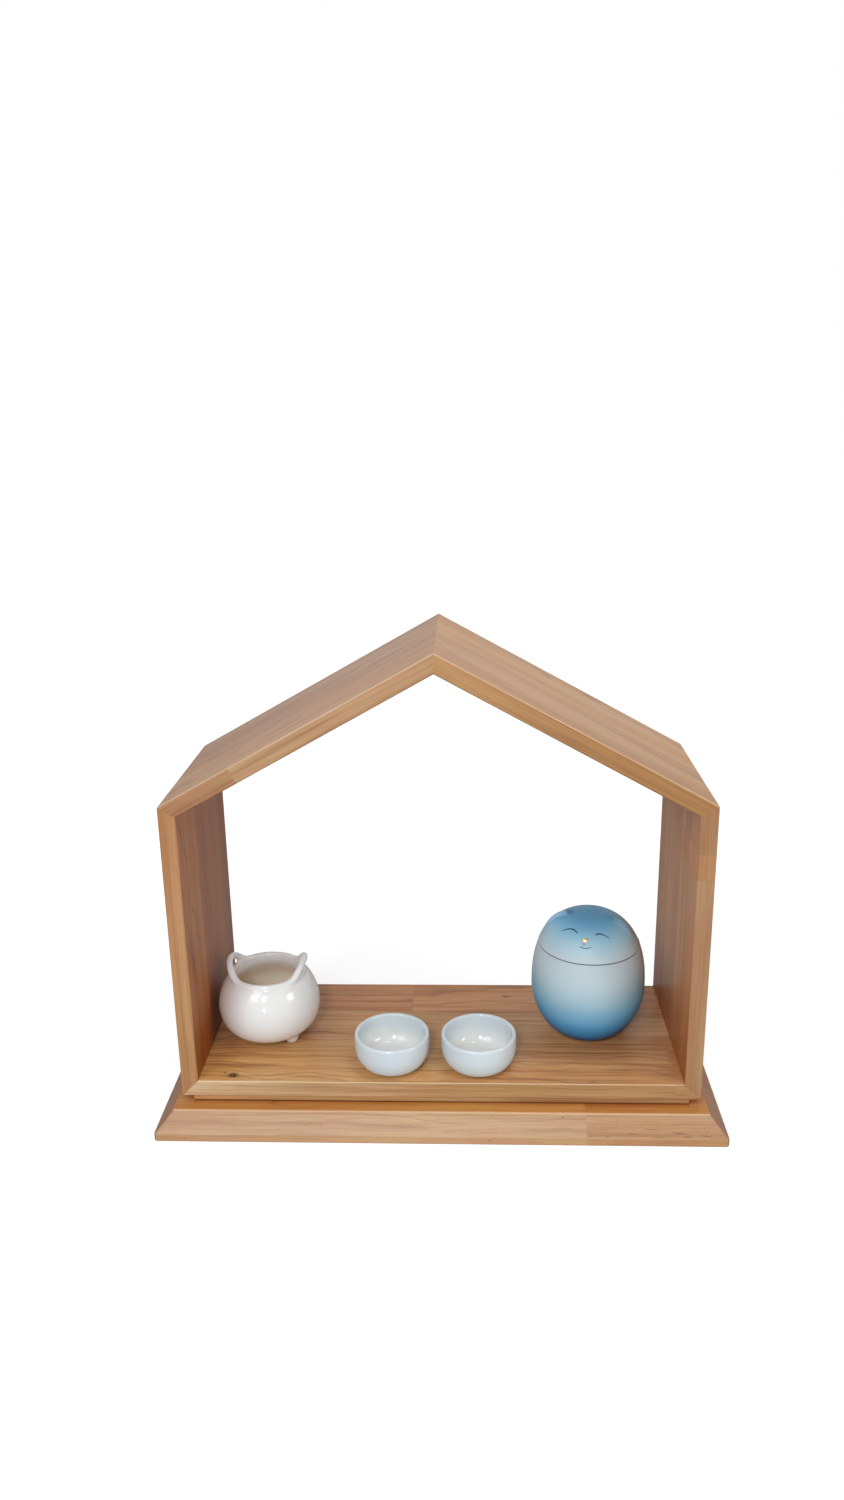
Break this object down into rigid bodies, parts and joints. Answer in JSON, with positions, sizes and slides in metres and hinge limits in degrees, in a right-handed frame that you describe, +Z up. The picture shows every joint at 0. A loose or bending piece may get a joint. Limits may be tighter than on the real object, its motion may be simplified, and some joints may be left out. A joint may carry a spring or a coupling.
{
  "type": "pet memorial shrine",
  "caption": "Open house-shaped wooden shrine on a bevelled plinth, with a footed incense burner, small offering bowls and an egg-shaped pet urn with a lift-off lid.",
  "frame": {"origin": "centre of the plinth's underside", "axes": "+X to the viewer's right, +Y from the front to the back, +Z up"},
  "size_m": [0.501, 0.232, 0.43],
  "materials": {
    "house_wood": "satin lacquer",
    "plinth_wood": "satin lacquer",
    "white_glaze": "gloss glaze",
    "urn_glaze": "satin gloss glaze, blue fading to pale grey",
    "gilding": "polished gilding"
  },
  "bodies": {
    "shrine": {"plinth_front": "plinth_wood", "plinth_mid_front": "plinth_wood", "plinth_mid_back": "plinth_wood", "plinth_back": "plinth_wood", "riser_board": "plinth_wood", "floor_front": "house_wood", "floor_middle": "house_wood", "floor_back": "house_wood", "left_wall_front": "house_wood", "left_wall_middle": "house_wood", "left_wall_back": "house_wood", "left_roof_front": "house_wood", "left_roof_middle": "house_wood", "left_roof_back": "house_wood", "right_wall_front": "house_wood", "right_wall_middle": "house_wood", "right_wall_back": "house_wood", "right_roof_front": "house_wood", "right_roof_middle": "house_wood", "right_roof_back": "house_wood", "burner_pot": "white_glaze", "burner_left_handle": "white_glaze", "burner_right_handle": "white_glaze", "burner_left_foot": "white_glaze", "burner_right_foot": "white_glaze", "burner_back_foot": "white_glaze", "left_bowl": "white_glaze", "right_bowl": "white_glaze", "urn_body": "urn_glaze"},
    "lid": {"urn_lid": "urn_glaze", "urn_nose": "gilding"}
  },
  "joints": [
    {"name": "urn_lid_lift", "type": "slide", "parent": "shrine", "child": "lid", "axis": [0, 0, 1], "range_m": [0, 0.06]}
  ]
}
